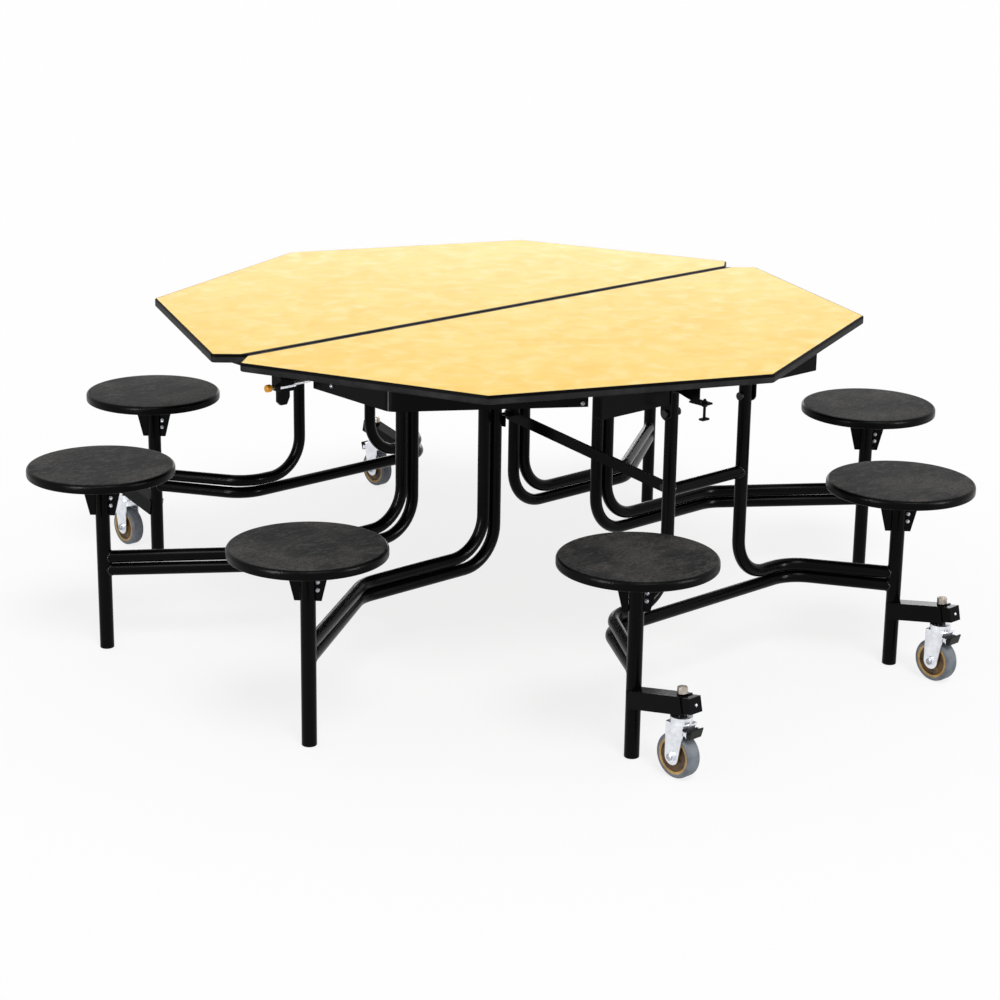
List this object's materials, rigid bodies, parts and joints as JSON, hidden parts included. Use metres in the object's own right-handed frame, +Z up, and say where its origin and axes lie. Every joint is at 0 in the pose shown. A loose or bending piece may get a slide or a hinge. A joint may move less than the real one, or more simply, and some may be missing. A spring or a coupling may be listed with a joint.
{
  "type": "folding table with attached seats",
  "caption": "Octagonal folding table on wheels with swivel seats on arms, hinged across the middle, bent tube frames, braked casters.",
  "frame": {"origin": "on the floor below the middle of the table top", "axes": "+X along the seam between the two halves, +Y across the seam towards the back half, +Z up"},
  "size_m": [2.09, 2.086, 0.7366],
  "materials": {
    "laminate": "satin laminate",
    "edge_moulding": "satin",
    "seat_plastic": "textured",
    "zinc": "bright zinc",
    "tyre": "matt",
    "black_plastic": "satin",
    "orange_plastic": "gloss",
    "black_steel": "gloss powder coat"
  },
  "bodies": {
    "front_frame": {"front_frame_legs": "black_steel", "front_frame_rungs": "black_steel", "front_frame_posts": "black_steel", "front_frame_seat_brackets": "black_steel", "front_caster_arms": "black_steel", "front_frame_pins": "zinc"},
    "front_half": {"front_top": "laminate", "front_edge": "edge_moulding", "front_rails": "black_steel", "front_pivot_brackets": "black_steel", "front_hinge_leaves": "black_steel", "front_stop": "black_steel", "hinge_pins": "zinc"},
    "front_center": {"front_center_upper_tubes": "black_steel", "front_center_lower_tubes": "black_steel", "front_center_posts": "black_steel", "front_center_seat_brackets": "black_steel", "front_center_pins": "zinc"},
    "back_half": {"back_top": "laminate", "back_edge": "edge_moulding", "back_rails": "black_steel", "back_pivot_brackets": "black_steel", "back_hinge_leaves": "black_steel", "back_stop": "black_steel"},
    "back_center": {"back_center_upper_tubes": "black_steel", "back_center_lower_tubes": "black_steel", "back_center_posts": "black_steel", "back_center_seat_brackets": "black_steel", "back_center_pins": "zinc"},
    "back_frame": {"back_frame_legs": "black_steel", "back_frame_rungs": "black_steel", "back_frame_posts": "black_steel", "back_frame_seat_brackets": "black_steel", "back_caster_arms": "black_steel", "back_frame_pins": "zinc"},
    "front_brace": {"front_brace": "black_steel"},
    "back_brace": {"back_brace": "black_steel"},
    "lock": {"lock_rod": "zinc", "lock_knob": "orange_plastic"},
    "seat_front_left": {"seat_front_left": "seat_plastic"},
    "seat_front_right": {"seat_front_right": "seat_plastic"},
    "seat_side_front_left": {"seat_side_front_left": "seat_plastic"},
    "seat_side_front_right": {"seat_side_front_right": "seat_plastic"},
    "seat_side_back_left": {"seat_side_back_left": "seat_plastic"},
    "seat_side_back_right": {"seat_side_back_right": "seat_plastic"},
    "seat_back_left": {"seat_back_left": "seat_plastic"},
    "seat_back_right": {"seat_back_right": "seat_plastic"},
    "caster_front_left": {"caster_fork_front_left": "zinc"},
    "wheel_front_left": {"caster_wheel_front_left": "tyre"},
    "pedal_front_left": {"caster_pedal_front_left": "black_plastic"},
    "caster_front_right": {"caster_fork_front_right": "zinc"},
    "wheel_front_right": {"caster_wheel_front_right": "tyre"},
    "pedal_front_right": {"caster_pedal_front_right": "black_plastic"},
    "caster_back_left": {"caster_fork_back_left": "zinc"},
    "wheel_back_left": {"caster_wheel_back_left": "tyre"},
    "pedal_back_left": {"caster_pedal_back_left": "black_plastic"},
    "caster_back_right": {"caster_fork_back_right": "zinc"},
    "wheel_back_right": {"caster_wheel_back_right": "tyre"},
    "pedal_back_right": {"caster_pedal_back_right": "black_plastic"}
  },
  "joints": [
    {"name": "front_fold", "type": "hinge", "parent": "front_frame", "child": "front_half", "pos_m": [0.1326, -0.645, 0.637], "axis": [1, 0, 0], "range_deg": [0, 82]},
    {"name": "front_center_pivot", "type": "hinge", "parent": "front_half", "child": "front_center", "pos_m": [0.18, -0.145, 0.695], "axis": [1, 0, 0], "range_deg": [-82, 0]},
    {"name": "seam_hinge", "type": "hinge", "parent": "front_half", "child": "back_half", "pos_m": [0.33, 0, 0.655], "axis": [1, 0, 0], "range_deg": [-164, 0]},
    {"name": "back_center_pivot", "type": "hinge", "parent": "back_half", "child": "back_center", "pos_m": [0.18, 0.145, 0.695], "axis": [1, 0, 0], "range_deg": [0, 82]},
    {"name": "back_leg_pivot", "type": "hinge", "parent": "back_half", "child": "back_frame", "pos_m": [0.1326, 0.645, 0.637], "axis": [1, 0, 0], "range_deg": [0, 82]},
    {"name": "front_brace_pivot", "type": "hinge", "parent": "front_frame", "child": "front_brace", "pos_m": [-0.097, -0.617, 0.462], "axis": [1, 0, 0], "range_deg": [0, 82]},
    {"name": "back_brace_pivot", "type": "hinge", "parent": "back_frame", "child": "back_brace", "pos_m": [0.097, 0.617, 0.462], "axis": [1, 0, 0], "range_deg": [-82, 0]},
    {"name": "lock_pull", "type": "slide", "parent": "front_half", "child": "lock", "axis": [-1, 0, 0], "range_m": [0, 0.02]},
    {"name": "seat_swivel_front_left", "type": "hinge", "parent": "front_frame", "child": "seat_front_left", "pos_m": [-0.415, -0.85, 0.41], "axis": [0, 0, 1], "continuous": true},
    {"name": "seat_swivel_front_right", "type": "hinge", "parent": "front_frame", "child": "seat_front_right", "pos_m": [0.415, -0.85, 0.41], "axis": [0, 0, 1], "continuous": true},
    {"name": "seat_swivel_side_front_left", "type": "hinge", "parent": "front_center", "child": "seat_side_front_left", "pos_m": [-0.88, -0.375, 0.41], "axis": [0, 0, 1], "continuous": true},
    {"name": "seat_swivel_side_front_right", "type": "hinge", "parent": "front_center", "child": "seat_side_front_right", "pos_m": [0.88, -0.375, 0.41], "axis": [0, 0, 1], "continuous": true},
    {"name": "seat_swivel_side_back_left", "type": "hinge", "parent": "back_center", "child": "seat_side_back_left", "pos_m": [-0.88, 0.375, 0.41], "axis": [0, 0, 1], "continuous": true},
    {"name": "seat_swivel_side_back_right", "type": "hinge", "parent": "back_center", "child": "seat_side_back_right", "pos_m": [0.88, 0.375, 0.41], "axis": [0, 0, 1], "continuous": true},
    {"name": "seat_swivel_back_left", "type": "hinge", "parent": "back_frame", "child": "seat_back_left", "pos_m": [-0.415, 0.85, 0.41], "axis": [0, 0, 1], "continuous": true},
    {"name": "seat_swivel_back_right", "type": "hinge", "parent": "back_frame", "child": "seat_back_right", "pos_m": [0.415, 0.85, 0.41], "axis": [0, 0, 1], "continuous": true},
    {"name": "caster_swivel_front_left", "type": "hinge", "parent": "front_frame", "child": "caster_front_left", "pos_m": [-0.415, -0.985, 0.12], "axis": [0, 0, 1], "continuous": true},
    {"name": "wheel_roll_front_left", "type": "hinge", "parent": "caster_front_left", "child": "wheel_front_left", "pos_m": [-0.415, -0.98, 0.048], "axis": [1, 0, 0], "continuous": true},
    {"name": "brake_front_left", "type": "hinge", "parent": "caster_front_left", "child": "pedal_front_left", "pos_m": [-0.415, -1.012, 0.104], "axis": [1, 0, 0], "range_deg": [0, 12]},
    {"name": "caster_swivel_front_right", "type": "hinge", "parent": "front_frame", "child": "caster_front_right", "pos_m": [0.415, -0.985, 0.12], "axis": [0, 0, 1], "continuous": true},
    {"name": "wheel_roll_front_right", "type": "hinge", "parent": "caster_front_right", "child": "wheel_front_right", "pos_m": [0.415, -0.98, 0.048], "axis": [1, 0, 0], "continuous": true},
    {"name": "brake_front_right", "type": "hinge", "parent": "caster_front_right", "child": "pedal_front_right", "pos_m": [0.415, -1.012, 0.104], "axis": [1, 0, 0], "range_deg": [0, 12]},
    {"name": "caster_swivel_back_left", "type": "hinge", "parent": "back_frame", "child": "caster_back_left", "pos_m": [-0.415, 0.985, 0.12], "axis": [0, 0, 1], "continuous": true},
    {"name": "wheel_roll_back_left", "type": "hinge", "parent": "caster_back_left", "child": "wheel_back_left", "pos_m": [-0.415, 0.98, 0.048], "axis": [1, 0, 0], "continuous": true},
    {"name": "brake_back_left", "type": "hinge", "parent": "caster_back_left", "child": "pedal_back_left", "pos_m": [-0.415, 1.012, 0.104], "axis": [-1, 0, 0], "range_deg": [0, 12]},
    {"name": "caster_swivel_back_right", "type": "hinge", "parent": "back_frame", "child": "caster_back_right", "pos_m": [0.415, 0.985, 0.12], "axis": [0, 0, 1], "continuous": true},
    {"name": "wheel_roll_back_right", "type": "hinge", "parent": "caster_back_right", "child": "wheel_back_right", "pos_m": [0.415, 0.98, 0.048], "axis": [1, 0, 0], "continuous": true},
    {"name": "brake_back_right", "type": "hinge", "parent": "caster_back_right", "child": "pedal_back_right", "pos_m": [0.415, 1.012, 0.104], "axis": [-1, 0, 0], "range_deg": [0, 12]}
  ],
  "couplings": [
    {"joint": "front_center_pivot", "follows": "front_fold", "ratio": -1},
    {"joint": "seam_hinge", "follows": "front_fold", "ratio": -2},
    {"joint": "back_center_pivot", "follows": "front_fold", "ratio": 1},
    {"joint": "back_leg_pivot", "follows": "front_fold", "ratio": 1},
    {"joint": "front_brace_pivot", "follows": "front_fold", "ratio": 1},
    {"joint": "back_brace_pivot", "follows": "front_fold", "ratio": -1}
  ]
}
